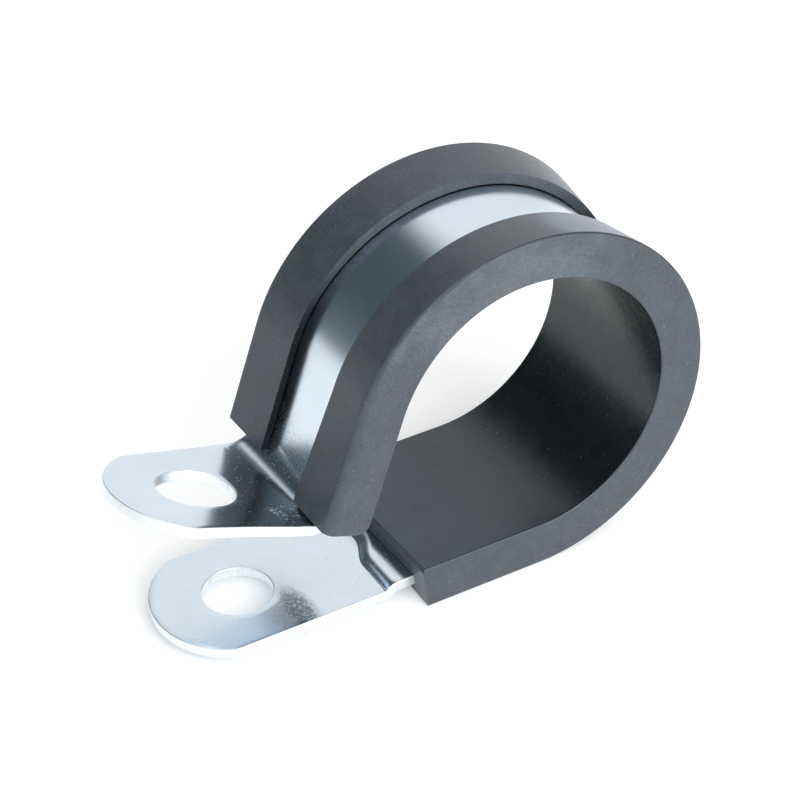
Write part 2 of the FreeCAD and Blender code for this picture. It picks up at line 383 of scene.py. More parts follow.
def sweep(runs, here, heading):
    """Carries the selection along straight runs (length,) and turns (radius, turn, side)."""
    for run in runs:
        if len(run) == 1:
            move = ahead_of(heading) * run[0]
            bpy.ops.mesh.extrude_region_move(TRANSFORM_OT_translate={"value": move})
            here = here + move
            continue
        radius, turn, side = run
        to_centre = ahead_of(heading + math.pi / 2) * radius * side
        centre = here + to_centre
        bpy.ops.mesh.spin(
            steps=max(FEWEST_STEPS, round(turn / ARC_STEP)), angle=turn, center=centre,
            axis=(0, side, 0))
        heading += side * turn
        here = centre - ahead_of(heading + math.pi / 2) * radius * side
    return here, heading


def apply_modifier(piece, kind, **settings):
    """Adds a modifier with its settings and applies it."""
    modifier = piece.modifiers.new(kind.title(), kind)
    for name, value in settings.items():
        setattr(modifier, name, value)
    bpy.ops.object.modifier_apply(modifier=modifier.name)


def close_up(piece, node):
    """Shades a finished piece, and puts it in the place of its CAD node."""
    bpy.ops.object.shade_smooth()
    apply_modifier(piece, "WEIGHTED_NORMAL", weight=100, keep_sharp=False)
    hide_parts(node)
    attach(piece, "root")


# The strip

def ear_outline(strip, angle, spacing):
    """A point of an ear's outline, in the ear's own plane about its hole, with the tip to -X."""
    half = strip.width / 2
    tip_radius = half + strip.tip_overhang
    tip_corner = math.pi - math.asin(half / tip_radius)
    root_corner = math.atan2(half, strip.root_reach)
    size, side = abs(angle), math.copysign(1, angle)
    if abs(size - tip_corner) < spacing / 2:
        return Vector((math.cos(tip_corner) * tip_radius, side * half, 0))
    if size > tip_corner:
        return Vector((math.cos(size), side * math.sin(size), 0)) * tip_radius
    if abs(size - root_corner) < spacing / 2:
        return Vector((strip.root_reach, side * half, 0))
    if size < root_corner:
        return Vector((strip.root_reach, side * strip.root_reach * math.tan(size), 0))
    return Vector((half / math.tan(size), side * half, 0))


def spread_ear(piece, strip, place, points, loops=6):
    """Grows a selected circle, the hole's rim, in loops out to the ear's outline."""
    flat = place.inverted()
    spacing = 2 * math.pi / points

    def outwards(share):
        def rule(spot):
            local = flat @ spot
            angle = math.atan2(local.y, local.x)
            rim = Vector((math.cos(angle), math.sin(angle), 0)) * strip.hole_radius
            return place @ rim.lerp(ear_outline(strip, angle, spacing), share)
        return rule

    for loop in range(1, loops + 1):
        bpy.ops.mesh.extrude_edges_move()
        shape(piece, outwards(loop / loops))


def stretch_slot(piece, strip, place):
    """Draws the hole of an ear out into a slot, and eases the loops round it."""
    flat = place.inverted()
    reach = strip.width / 2

    def rule(spot):
        local = flat @ spot
        away = math.hypot(local.x, local.y)
        ease = max(0.0, 1 - (away - strip.hole_radius) / (reach - strip.hole_radius))
        if abs(local.x) > TOLERANCE:
            local.x += math.copysign(strip.slot_travel / 2, local.x) * ease
        return place @ local

    shape(piece, rule, lambda vertex: abs((flat @ vertex.co).z) < TOLERANCE
          and (flat @ vertex.co).length < reach)


def flare_bend(piece, strip, corner, centre):
    """Opens the bend towards the back edge, so that it is a cone between the same two planes."""
    radius = strip.bend_radius + strip.thickness

    def on_bend(vertex):
        away = vertex.co - centre
        return abs(math.hypot(away.x, away.z) - radius) < TOLERANCE

    def rule(spot):
        growth = 1 + strip.bend_flare * spot.y / (strip.width / 2) / radius
        away = spot - corner
        return corner + Vector((away.x * growth, away.y, away.z * growth))

    shape(piece, rule, on_bend)


def twist_ear(piece, strip, place, start):
    """Turns an ear about its own length, from nothing at its bend to the full twist at its tip."""
    flat = place.inverted()
    length = start + strip.width / 2 + strip.tip_overhang

    def rule(spot):
        local = flat @ spot
        share = (start - local.x) / length
        turn = -strip.ear_twist * math.sin(share * math.pi / 2)
        return place @ (Matrix.Rotation(turn, 3, "X") @ local)

    shape(piece, rule, lambda vertex: abs((flat @ vertex.co).z) < TOLERANCE
          and (flat @ vertex.co).x < start)


def plan_joggle(strip, inner):
    """The set's first turn, its run along X, and the straight leg from it to the loop."""
    foot, crest = strip.joggle_foot_radius, strip.joggle_crest_radius
    leg_x = inner * math.sin(strip.droop) + strip.joggle_reach
    rise = (strip.joggle_height + inner - inner * math.cos(strip.droop)
            - leg_x * math.tan(strip.droop))
    turn = math.acos((foot + crest * math.cos(strip.droop) - rise) / (foot + crest))
    run = (foot + crest) * math.sin(turn) - crest * math.sin(strip.droop)
    return turn, run, leg_x / math.cos(strip.droop)


class PCLIP_OT_bend_strip(Operator):
    """Models the pierced and bent steel strip in the place of the CAD strip"""

    bl_idname = "pclip.bend_strip"
    bl_label = "Bend the strip"

    def execute(self, context):
        strip, lining = context.scene.clip_strip, context.scene.clip_lining
        inner = BORE_RADIUS + lining.wall
        shoulder = strip.shoulder_radius + lining.wall
        set_turn, set_run, leg = plan_joggle(strip, inner)
        level = -(inner + strip.joggle_height)
        bend_line = strip.bend_radius + strip.thickness
        bend_turn = math.radians(90) - strip.leg_lean + strip.ear_tilt
        tangent = bend_line * math.tan(bend_turn / 2)
        points = 72

        lower = Matrix.Translation((-strip.lower_hole_reach, 0, level))
        piece = begin(
            "bent_strip", bpy.ops.mesh.primitive_circle_add, vertices=points,
            radius=strip.hole_radius, location=lower.translation)
        spread_ear(piece, strip, lower, points)

        root = -strip.lower_hole_reach + strip.root_reach
        pick(piece, "EDGE", lambda edge: all(
            abs(end.co.x - root) < TOLERANCE for end in edge.verts))
        end, heading = sweep([
            (-root - strip.joggle_reach - set_run,),
            (strip.joggle_foot_radius, set_turn, LEFT),
            (strip.joggle_crest_radius, set_turn - strip.droop, RIGHT),
            (leg,),
            (inner, strip.round_span - strip.droop, LEFT),
            (shoulder, math.radians(270) - strip.leg_lean - strip.round_span, LEFT),
            (strip.leg_reach - tangent,),
            (bend_line, bend_turn, RIGHT),
            (strip.upper_hole_reach - tangent - strip.root_reach,),
        ], Vector((root, 0, level)), 0.0)

        centre = end + ahead_of(heading) * strip.root_reach
        corner = centre - ahead_of(heading) * strip.upper_hole_reach
        flare_bend(piece, strip, corner, corner + ahead_of(heading) * tangent
                   - ahead_of(heading + math.pi / 2) * bend_line)
        self.shift_set(piece, strip, set_run)
        upper = Matrix.Translation(centre) @ Matrix.Rotation(strip.ear_tilt, 4, "Y")
        bpy.ops.mesh.select_all(action="DESELECT")
        bpy.ops.mesh.primitive_circle_add(
            vertices=points, radius=strip.hole_radius, location=centre,
            rotation=(0, strip.ear_tilt, 0))
        spread_ear(piece, strip, upper, points)
        stretch_slot(piece, strip, upper)
        twist_ear(piece, strip, upper, strip.upper_hole_reach - tangent)

        bpy.ops.mesh.select_all(action="SELECT")
        bpy.ops.mesh.remove_doubles(threshold=strip.thickness / 100)
        bpy.ops.mesh.normals_make_consistent(inside=False)
        self.face_out(piece)
        bpy.ops.object.mode_set(mode="OBJECT")
        for finish in (zinc_plate(context), sheared_steel(context)):
            piece.data.materials.append(finish)
        apply_modifier(
            piece, "SOLIDIFY", thickness=strip.thickness, offset=1, use_even_offset=True,
            material_offset_rim=1)
        apply_modifier(
            piece, "BEVEL", width=strip.edge_round, segments=3, limit_method="ANGLE",
            angle_limit=CREASE, material=1)
        close_up(piece, "steel_band")
        return {"FINISHED"}

    def shift_set(self, piece, strip, run):
        """Moves the back half of the set towards the lining, its crest the most."""
        crest = -strip.joggle_reach
        starts, full, crest_lead = -0.0028, 0.0008, 0.4

        def rule(spot):
            back = smooth_step(spot.y, starts, full)
            up = 1 - (crest - spot.x) / run
            return spot + Vector((strip.set_shift * back * (1 + up * crest_lead), 0, 0))

        shape(piece, rule, lambda vertex: (
            vertex.co.z < 0 and crest - run - TOLERANCE < vertex.co.x < crest + TOLERANCE))

    def face_out(self, piece):
        """Turns the sheet's faces to look away from the cable."""
        shell = bmesh.from_edit_mesh(piece.data)
        right_side = max(shell.faces, key=lambda face: face.calc_center_median().x)
        if right_side.normal.x < 0:
            bpy.ops.mesh.flip_normals()


# The lining

class PCLIP_OT_mould_lining(Operator):
    """Models the rubber channel in the place of the CAD lining"""

    bl_idname = "pclip.mould_lining"
    bl_label = "Mould the lining"

    def execute(self, context):
        strip, lining = context.scene.clip_strip, context.scene.clip_lining
        inner = BORE_RADIUS + lining.wall
        shoulder = strip.shoulder_radius + lining.wall
        outer = inner + strip.thickness
        half, gap = lining.width / 2, lining.lip_gap / 2
        channel = strip.width / 2 + lining.slip
        section = [
            (half, BORE_RADIUS), (half, outer + lining.lip_thickness),
            (gap, outer + lining.lip_edge), (gap, outer + lining.slip),
            (channel, outer + lining.slip), (channel, inner - lining.slip),
        ]
        section += [(-across, down) for across, down in reversed(section)]
        section += [(-gap, BORE_RADIUS), (gap, BORE_RADIUS)]
        start = -lining.lower_reach

        piece = begin(
            "rubber_channel", bpy.ops.mesh.primitive_circle_add, vertices=len(section),
            radius=half, location=(start, 0, 0), rotation=(0, math.pi / 2, 0))
        shell = bmesh.from_edit_mesh(piece.data)
        for vertex, (across, down) in zip(shell.verts, section):
            vertex.co = (start, across, -down)
        bmesh.update_edit_mesh(piece.data)
        pick(piece, "VERT", lambda vertex: abs(abs(vertex.co.y) - half) < TOLERANCE or (
            abs(abs(vertex.co.y) - gap) < TOLERANCE and vertex.co.z < -outer))
        bpy.ops.mesh.bevel(affect="VERTICES", offset=lining.corner_round, segments=5)
        bpy.ops.mesh.select_all(action="SELECT")
        shape(piece, lambda spot: self.off_bore(lining, spot, -lining.lower_round))
        end, heading = sweep([(lining.lower_round,)], Vector((start, 0, -inner)), 0.0)
        shape(piece, lambda spot: self.off_bore(lining, spot, lining.lower_round))
        end, heading = sweep([
            (lining.lower_reach - lining.lower_round,),
            (inner, strip.round_span, LEFT),
            (shoulder, math.radians(270) - strip.leg_lean - strip.round_span, LEFT),
            (lining.upper_reach - lining.upper_round,),
        ], end, heading)
        self.round_end(piece, lining, end, heading)
        self.settle_leg(piece, strip, lining)
        self.slant_start(piece, strip, lining, start)
        bpy.ops.mesh.select_all(action="SELECT")
        bpy.ops.mesh.normals_make_consistent(inside=False)
        bpy.ops.object.mode_set(mode="OBJECT")
        for make_finish in (rubber_skin, rubber_bore, rubber_cut, rubber_wall):
            piece.data.materials.append(make_finish(context))
        self.sort_faces(piece, half, start + lining.lower_round)
        apply_modifier(
            piece, "BEVEL", width=lining.corner_round / 2, segments=2, limit_method="ANGLE",
            angle_limit=CREASE)
        close_up(piece, "rubber_lining")
        return {"FINISHED"}

    def settle_leg(self, piece, strip, lining):
        """Gives the leg's lining the set it takes: rolled in front, lifted and undercut lips."""
        inner = BORE_RADIUS + lining.wall
        shoulder = strip.shoulder_radius + lining.wall
        centre = -ahead_of(strip.round_span - math.pi / 2) * (shoulder - inner)
        leg_side = math.pi - strip.leg_lean
        half, gap = lining.width / 2, lining.lip_gap / 2
        seat = lining.wall + strip.thickness + lining.slip
        crest = lining.wall + strip.thickness + lining.lip_thickness
        lip = lining.wall + strip.thickness + lining.lip_edge
        leg_starts, leg_ends = math.radians(90), math.radians(215)
        settling, settled_at = math.radians(95), math.radians(165)

        def rule(spot):
            away = Vector((spot.x - centre.x, 0, spot.z - centre.z))
            round_way = math.atan2(away.z, away.x) % (2 * math.pi)
            if not leg_starts < round_way < leg_ends:
                return spot
            out = ahead_of(min(round_way, leg_side))
            depth = away.dot(out) - strip.shoulder_radius
            along = max(0.0, away.dot(ahead_of(leg_side + math.pi / 2)))
            settled = smooth_step(round_way, settling, settled_at)
            front = -spot.y
            edge = lining.corner_round + TOLERANCE
            if front > half - edge and depth > crest - edge:
                grown = 1 + settled * (lining.leg_corner / lining.corner_round - 1)
                front = half - (half - front) * grown
                depth = crest - (crest - depth) * grown
            rolled = max(0.0, (front - gap) / (half - gap)) ** 2 * settled * lining.front_roll
            if depth > seat - TOLERANCE and 0 < front < gap + edge:
                depth += lining.lip_lift * smooth_step(
                    along, lining.lift_start, lining.upper_reach)
            if depth > seat - TOLERANCE and -gap - edge < front < 0:
                front -= lining.lip_undercut * settled * max(0.0, (lip - depth) / (lip - seat))
            return (centre + Vector((0, -front, 0)) + out * (depth - rolled)
                    + away - out * (away.dot(out) - strip.shoulder_radius))

        shape(piece, rule, lambda vertex: True)

    def off_bore(self, lining, spot, rise):
        """Moves a point of the lower end's bore up, and leaves any other where it is."""
        on_bore = -spot.z < BORE_RADIUS + lining.wall * BORE_SHARE
        return spot + Vector((0, 0, rise if on_bore else 0))

    def round_end(self, piece, lining, here, heading):
        """Turns the upper end out of square, longer in front, rounds its bore and closes it."""
        ahead, out = ahead_of(heading), ahead_of(heading - math.pi / 2)
        wall = here.dot(out) - 2 * lining.slip
        steps = 4
        shape(piece, lambda spot: spot - ahead * math.tan(lining.skew) * spot.y)
        for step in range(1, steps + 1):
            low, high = (math.pi / 2 * part / steps for part in (step - 1, step))
            here, heading = sweep(
                [(lining.upper_round * (math.sin(high) - math.sin(low)),)], here, heading)
            thinner = out * lining.upper_round * (math.cos(low) - math.cos(high))
            shape(piece, lambda spot: spot + thinner if spot.dot(out) < wall else spot)
        bpy.ops.mesh.edge_face_add()

    def slant_start(self, piece, strip, lining, start):
        """Closes the lower end, slants it, and lowers its channel on to the drooping strip."""
        pick(piece, "EDGE", lambda edge: all(
            abs(spot.co.x - start) < TOLERANCE for spot in edge.verts))
        bpy.ops.mesh.edge_face_add()
        middle = BORE_RADIUS + (lining.wall + strip.thickness + lining.lip_thickness) / 2
        roof = BORE_RADIUS + lining.wall * BORE_SHARE
        floor = BORE_RADIUS + lining.wall + strip.thickness + lining.slip
        lean, skew = math.tan(lining.slant), math.tan(lining.lower_skew)
        drop = lining.lower_reach * math.tan(strip.droop)

        def rule(spot):
            back = (spot.z + middle) * lean + spot.y * skew
            inside = abs(spot.y) < lining.width / 2 - lining.lip_thickness / 2
            in_channel = inside and roof < -spot.z < floor + TOLERANCE
            return spot - Vector((back, 0, drop if in_channel else 0))

        pick(piece, "VERT", lambda vertex: (
            vertex.co.x < start + lining.lower_round + TOLERANCE
            and vertex.co.z < BELOW_BORE))
        shape(piece, rule)

    def sort_faces(self, piece, half, cut):
        """Gives the bore, the two cut ends and the lips' inner walls their own finishes."""
        # How squarely a face of each kind looks its own way, the most corners of a face along
        # the sweep, and the share of half the width that the lips' inner walls lie within.
        end_facing, wall_facing, bore_facing = 0.3, 0.5, 0.4
        most_corners, walls_share = 8, 0.6
        for face in piece.data.polygons:
            away = Vector((face.center.x, 0, face.center.z)).normalized()
            at_start = face.center.x < cut and face.center.z < BELOW_BORE
            end_cap = len(face.vertices) > most_corners
            faces_along = abs(face.normal.y) > wall_facing
            between_lips = abs(face.center.y) < half * walls_share
            if end_cap or (at_start and face.normal.x < -end_facing):
                finish = CUT
            elif not faces_along and face.normal.dot(away) < -bore_facing:
                finish = BORE
            elif faces_along and between_lips:
                finish = WALL
            else:
                finish = SKIN
            face.material_index = finish


# Finishes

def add_node(tree, kind, inputs=None, **settings):
    """Adds a node with its settings, and sets or links its inputs."""
    made = tree.nodes.new(kind)
    for name, value in settings.items():
        setattr(made, name, value)
    for socket, value in (inputs or {}).items():
        if isinstance(value, bpy.types.NodeSocket):
            tree.links.new(value, made.inputs[socket])
        else:
            made.inputs[socket].default_value = value
    return made


def start_finish(name, **inputs):
    """A new material with its shader's constants set, and the object's own coordinates."""
    finish = bpy.data.materials.new(name)
    finish.use_nodes = True
    tree = finish.node_tree
    tree.nodes.clear()
    shader = add_node(tree, "ShaderNodeBsdfPrincipled", inputs)
    add_node(tree, "ShaderNodeOutputMaterial", {"Surface": shader.outputs["BSDF"]})
    spots = add_node(tree, "ShaderNodeTexCoord").outputs["Object"]
    return finish, tree, shader, spots


def noise(tree, spots, size, stretch=(1, 1, 1), detail=4.0, roughness=0.55):
    """Noise with features of a size in metres, drawn out along an axis by a stretch above 1."""
    sized = add_node(tree, "ShaderNodeMapping", {
        "Vector": spots, "Scale": [1 / (size * times) for times in stretch]})
    return add_node(tree, "ShaderNodeTexNoise", {
        "Vector": sized.outputs["Vector"], "Scale": 1.0, "Detail": detail,
        "Roughness": roughness}).outputs["Fac"]


def levels(tree, value, low, high, to_low=0.0, to_high=1.0):
    """Stretches the part of a value between two limits over a new range."""
    return add_node(tree, "ShaderNodeMapRange", {
        "Value": value, "From Min": low, "From Max": high,
        "To Min": to_low, "To Max": to_high}, interpolation_type="SMOOTHSTEP").outputs["Result"]


def spread(tree, value, to_low=0.0, to_high=1.0):
    """Spreads the middle of a noise, where most of it lies, over a new range."""
    return levels(tree, value, 0.3, 0.7, to_low, to_high)


def gain(tree, share, most):
    """1 where a share is 0, and the most where it is 1."""
    return levels(tree, share, 0, 1, 1, most)


def multiply(tree, first, *others):
    """The product of values."""
    for other in others:
        first = add_node(
            tree, "ShaderNodeMath", {0: first, 1: other}, operation="MULTIPLY").outputs[0]
    return first


def larger(tree, first, second):
    """The larger of two values."""
    return add_node(tree, "ShaderNodeMath", {0: first, 1: second}, operation="MAXIMUM").outputs[0]


def absolute(tree, value):
    """A value without its sign."""
    return add_node(tree, "ShaderNodeMath", {0: value}, operation="ABSOLUTE").outputs[0]


def axes(tree, spots):
    """The spots' places along X, Y and Z."""
    return add_node(tree, "ShaderNodeSeparateXYZ", {"Vector": spots}).outputs


def scaled(tree, colour, times):
    """A colour made lighter or darker by a value."""
    return add_node(
        tree, "ShaderNodeVectorMath", {0: colour, "Scale": times}, operation="SCALE").outputs[0]


def blend_values(tree, share, first, second):
    """A mix of two values."""
    return add_node(tree, "ShaderNodeMix", {"Factor": share, "A": first, "B": second}).outputs[0]


def blend_colours(tree, share, first, second):
    """A mix of two colours, each a plain colour or a socket."""
    first_colour, second_colour, mixed_colour = 6, 7, 2
    sides = [side if isinstance(side, bpy.types.NodeSocket) else tuple(side) + (1,)
             for side in (first, second)]
    mix = add_node(tree, "ShaderNodeMix", {"Factor": share}, data_type="RGBA")
    for socket, side in zip((first_colour, second_colour), sides):
        if isinstance(side, bpy.types.NodeSocket):
            tree.links.new(side, mix.inputs[socket])
        else:
            mix.inputs[socket].default_value = side
    return mix.outputs[mixed_colour]


def specks(tree, spots, cell, radius, share):
    """Small round specks, one in some of the cells of a grid."""
    grid = add_node(tree, "ShaderNodeMapping", {
        "Vector": spots, "Scale": (1 / cell, 1 / cell, 1 / cell)})
    cells = add_node(tree, "ShaderNodeTexVoronoi", {
        "Vector": grid.outputs["Vector"], "Scale": 1.0})
    chance = add_node(tree, "ShaderNodeSeparateColor", {"Color": cells.outputs["Color"]})
    core, edge = 0.4, 0.01
    inside = levels(tree, cells.outputs["Distance"], radius / cell, core * radius / cell)
    lucky = levels(tree, chance.outputs[0], 1 - share, 1 - share + edge)
    return multiply(tree, inside, lucky)


def squeezed(tree, spots, share=0.0):
    """The spots with their place along Y scaled by a share."""
    return add_node(
        tree, "ShaderNodeVectorMath", {0: spots, 1: (1, share, 1)}, operation="MULTIPLY").outputs[0]


def near(tree, spots, mark):
    """1 round the middle of a mark, fading to 0 at its reach."""
    place, reach = mark
    away = add_node(tree, "ShaderNodeVectorMath", {0: spots, 1: place}, operation="DISTANCE")
    return levels(tree, away.outputs["Value"], reach, reach / 3)


def bump(tree, shader, height, depth):
    """Gives the shader's normal a relief of a depth in metres."""
    relief = add_node(tree, "ShaderNodeBump", {
        "Height": height, "Distance": depth, "Strength": 1.0})
    tree.links.new(relief.outputs["Normal"], shader.inputs["Normal"])


def zinc_dust(tree, spots):
    """Dust in fine and coarse specks, much thinner on the leg and the loop above the bend."""
    thin_above, full_below, thin_share = -0.0015, -0.0045, 0.08
    thinning = levels(tree, axes(tree, spots)["Z"], thin_above, full_below, thin_share, 1)
    return multiply(tree, thinning, larger(
        tree, specks(tree, spots, cell=0.0003, radius=0.00006, share=0.35),
        specks(tree, spots, cell=0.001, radius=0.0001, share=0.3)))


def scratches(tree, spots):
    """Fine scratches in patches, drawn out along the ear, round the bend's marks."""
    lines = noise(tree, spots, size=0.00016, stretch=(2.5, 1, 2.5), detail=3)
    patches = noise(tree, spots, size=0.0009, detail=2)
    return multiply(
        tree, levels(tree, lines, 0.5, 0.64), levels(tree, patches, 0.42, 0.6),
        near(tree, spots, BEND_MARKS))


def zinc_plate(context):
    """Bright zinc: bluish, nearly a mirror, with faint rolling lines, dust and tool scuffs."""
    colours = context.scene.clip_finishes
    finish, tree, shader, spots = start_finish("zinc_plate", Metallic=1.0)
    clouds = noise(tree, spots, size=0.006, detail=2)
    grain = noise(tree, spots, size=0.0002, detail=3)
    rolling = noise(tree, spots, size=0.00018, stretch=(40, 1, 40), detail=2)
    worked = near(tree, squeezed(tree, spots), WORKED_LEG)
    most_drawn, worked_grain, dull_roughness = 0.15, 0.12, 0.75
    drawn = multiply(tree, worked, levels(tree, grain, 0.5, 0.66, 0, most_drawn))
    # Painted reflection: a dark, grainy bluish patch on the lower ear, right of its hole.
    painted_reflection = multiply(
        tree, near(tree, squeezed(tree, spots, REFLECTION_SHARE), EAR_REFLECTION),
        levels(tree, noise(tree, spots, size=0.0003, detail=5), 0.3, 0.6, 0.3, 0.9))
    dull = larger(
        tree, larger(tree, zinc_dust(tree, spots), scratches(tree, spots)), drawn)
    cloudy = blend_colours(tree, spread(tree, clouds), colours.zinc, colours.zinc_cloud)
    bent = blend_colours(
        tree, near(tree, squeezed(tree, spots), BEND), cloudy, colours.bent_zinc)
    reflected = blend_colours(tree, painted_reflection, bent, colours.painted_reflection)
    tree.links.new(blend_colours(tree, dull, reflected, colours.shear), shader.inputs["Base Color"])
    smooth = blend_values(
        tree, worked, spread(tree, clouds, 0.2, 0.23), levels(tree, grain, 0.35, 0.65, 0.25, 0.31))
    tree.links.new(blend_values(tree, dull, smooth, dull_roughness), shader.inputs["Roughness"])
    relief = blend_values(tree, multiply(tree, worked, worked_grain), rolling, grain)
    bump(tree, shader, relief, depth=0.0000014)
    return finish


def sheared_steel(context):
    """Plated shear: pale and rough, with faint lines across the strip's thickness."""
    colours = context.scene.clip_finishes
    finish, tree, shader, spots = start_finish("sheared_steel", Metallic=1.0)
    tears = noise(tree, spots, size=0.0003, stretch=(1, 1, 10), detail=3)
    tree.links.new(
        blend_colours(tree, levels(tree, tears, 0.5, 0.9), colours.shear, colours.zinc_cloud),
        shader.inputs["Base Color"])
    tree.links.new(spread(tree, tears, 0.4, 0.5), shader.inputs["Roughness"])
    bump(tree, shader, tears, depth=0.000001)
    return finish


def rubber(context, name, tone, grain_share, dust_share,
           matt=0.38, sheen=0.3, shine=0.6, tint=(0.88, 0.94, 1.0)):
    """Rubber of a tone: mottled, finely grained, with pale specks of dust."""
    finish, tree, shader, spots = start_finish(name, **{
        "Specular IOR Level": shine, "Specular Tint": tint + (1,), "Sheen Weight": sheen,
        "Sheen Roughness": 0.35, "Sheen Tint": (0.85, 0.93, 1.0, 1.0)})
    mottle = noise(tree, spots, size=0.0016, detail=6, roughness=0.6)
    grain = noise(tree, spots, size=0.00016, detail=3, roughness=0.7)
    mottled = scaled(tree, tone(tree, spots), spread(tree, mottle, 0.88, 1.12))
    grained = scaled(tree, mottled, spread(tree, grain, 1 - grain_share, 1 + grain_share))
    dust = larger(
        tree, specks(tree, spots, cell=0.00032, radius=0.00005, share=dust_share),
        specks(tree, spots, cell=0.0009, radius=0.00008, share=dust_share / 3))
    tree.links.new(
        blend_colours(tree, dust, grained, context.scene.clip_finishes.dust),
        shader.inputs["Base Color"])
    tree.links.new(spread(tree, mottle, matt, matt + 0.08), shader.inputs["Roughness"])
    bump(tree, shader, grain, depth=0.000011)
    return finish


def rubber_skin(context):
    """The lining's outer faces: dulled lips, and side faces that pale in round the corners, with a
    painted highlight on the front lip, painted light on the front side at the loop's top and a
    painted shade line along its front corner.
    """
    colours = context.scene.clip_finishes
    half = context.scene.clip_lining.width / 2
    paling, off_front = (half * 0.92, half * 0.995), (-half * 0.99, -half * 0.975)
    highlight_times, lit_top_times, shade_line_times = 3.3, 1.6, 0.3

    def tone(tree, spots):
        place = axes(tree, spots)
        to_side = levels(tree, absolute(tree, place["Y"]), *paling)
        plain = blend_colours(tree, to_side, colours.rubber, colours.rubber_side)
        # Painted highlight: the front lip's top is made paler round its mark, away from the front
        # face.
        off_side = levels(tree, place["Y"], *off_front)
        rubbed = multiply(tree, near(tree, spots, LIP_HIGHLIGHT), off_side)
        # Painted light: the front side is made paler at the loop's top, broken into clouds of tone.
        worn = lit_top_clouds(tree, spots, half)
        toned = scaled(
            tree, scaled(tree, plain, gain(tree, rubbed, highlight_times)),
            gain(tree, worn, lit_top_times))
        # Painted shade: a dark line along the front corner at the loop's top.
        return scaled(tree, toned, gain(tree, corner_shade_line(tree, spots, half), shade_line_times))

    return rubber(context, "rubber_skin", tone, grain_share=0.25, dust_share=0.22)


def lit_top_clouds(tree, spots, half):
    """Clouds on the front side at the loop's top, painted paler there as painted light."""
    front, top, left = (-half * 0.97, -half * 0.995), (0.006, 0.014), (0.010, 0.001)
    place = axes(tree, spots)
    clouds = noise(tree, spots, size=0.0035, detail=3)
    return multiply(
        tree, levels(tree, place["Y"], *front), levels(tree, place["Z"], *top),
        levels(tree, place["X"], *left), spread(tree, clouds, 0.45, 1.3))


def corner_shade_line(tree, spots, half):
    """A painted shade line along the front corner of the loop's top, where the crease would be
    shaded.
    """
    outer, right, top = (0.0150, 0.0155), (-0.0125, -0.0085), (0.005, 0.010)
    before_lip, behind_front = (-half * 0.982, -half * 0.9865), (-half * 0.9994, -half * 0.9978)
    place = axes(tree, spots)
    away = add_node(tree, "ShaderNodeVectorMath", {0: squeezed(tree, spots)}, operation="LENGTH")
    return multiply(
        tree, levels(tree, away.outputs["Value"], *outer), levels(tree, place["X"], *right),
        levels(tree, place["Z"], *top), levels(tree, place["Y"], *before_lip),
        levels(tree, place["Y"], *behind_front))


def rubber_bore(context):
    """The bore: smoother and darker than the rest, partly as painted shade, and painted paler low
    down beside the mouth as painted light.
    """
    colours = context.scene.clip_finishes
    low, towards_mouth = (-0.006, -0.012), (0.008, -0.014)

    def tone(tree, spots):
        place = axes(tree, spots)
        smudges = noise(tree, spots, size=0.004, detail=3)
        # Painted light: paler low down and towards the mouth, with smudges of tone; painted shade
        # deeper in.
        dusty = multiply(
            tree, levels(tree, place["Z"], *low), levels(tree, place["X"], *towards_mouth),
            levels(tree, smudges, 0.25, 0.6, 0.75, 1.1))
        return blend_colours(tree, dusty, colours.rubber_bore, colours.rubber_lit_mouth)

    return rubber(
        context, "rubber_bore", tone, grain_share=0.15, dust_share=0.1, matt=0.22, sheen=0.0,
        tint=(0.82, 0.96, 1.0))


def rubber_wall(context):
    """The lips' inner walls: painted shade on the leg, where light hardly reaches, paling to painted
    light at the loop's top.
    """
    colours = context.scene.clip_finishes
    top, lit_wall_times = (0.007, 0.015), 1.5

    def tone(tree, spots):
        # Painted shade on the leg, in the bore's dark colour, paling to painted light at the loop's
        # top.
        return blend_colours(
            tree, levels(tree, axes(tree, spots)["Z"], *top), colours.rubber_bore,
            scaled(tree, colours.rubber_side, lit_wall_times))

    return rubber(
        context, "rubber_wall", tone, grain_share=0.12, dust_share=0.5, matt=0.8, sheen=0.0,
        shine=0.25)


def rubber_cut(context):
    """The lining's cut ends: dusty, with painted shade under the bore where the strip comes out."""
    colours = context.scene.clip_finishes
    channel = context.scene.clip_strip.width / 2
    under_bore = (-BORE_RADIUS * 1.03, -BORE_RADIUS * 1.07)
    in_channel = (channel * 1.02, channel * 0.95)

    def tone(tree, spots):
        place = axes(tree, spots)
        # Painted shade: darker under the bore, in the channel where the strip comes out.
        painted_shade = multiply(
            tree, levels(tree, place["Z"], *under_bore),
            levels(tree, absolute(tree, place["Y"]), *in_channel))
        return blend_colours(tree, painted_shade, colours.rubber_side, colours.rubber_bore)

    return rubber(context, "rubber_cut", tone, grain_share=0.5, dust_share=1.0)


# The studio

def pale_floor(context):
    """A white floor that glows a little, as a light table does."""
    finish, tree, shader, spots = start_finish(
        "pale_floor", **{"Roughness": 0.9, "Emission Strength": 0.22,
                         "Emission Color": (1, 1, 1, 1)})
    paper = noise(tree, spots, size=0.02, detail=2)
    dull, bright = (0.88, 0.88, 0.88), (0.92, 0.92, 0.92)
    tree.links.new(blend_colours(tree, paper, dull, bright), shader.inputs["Base Color"])
    return finish


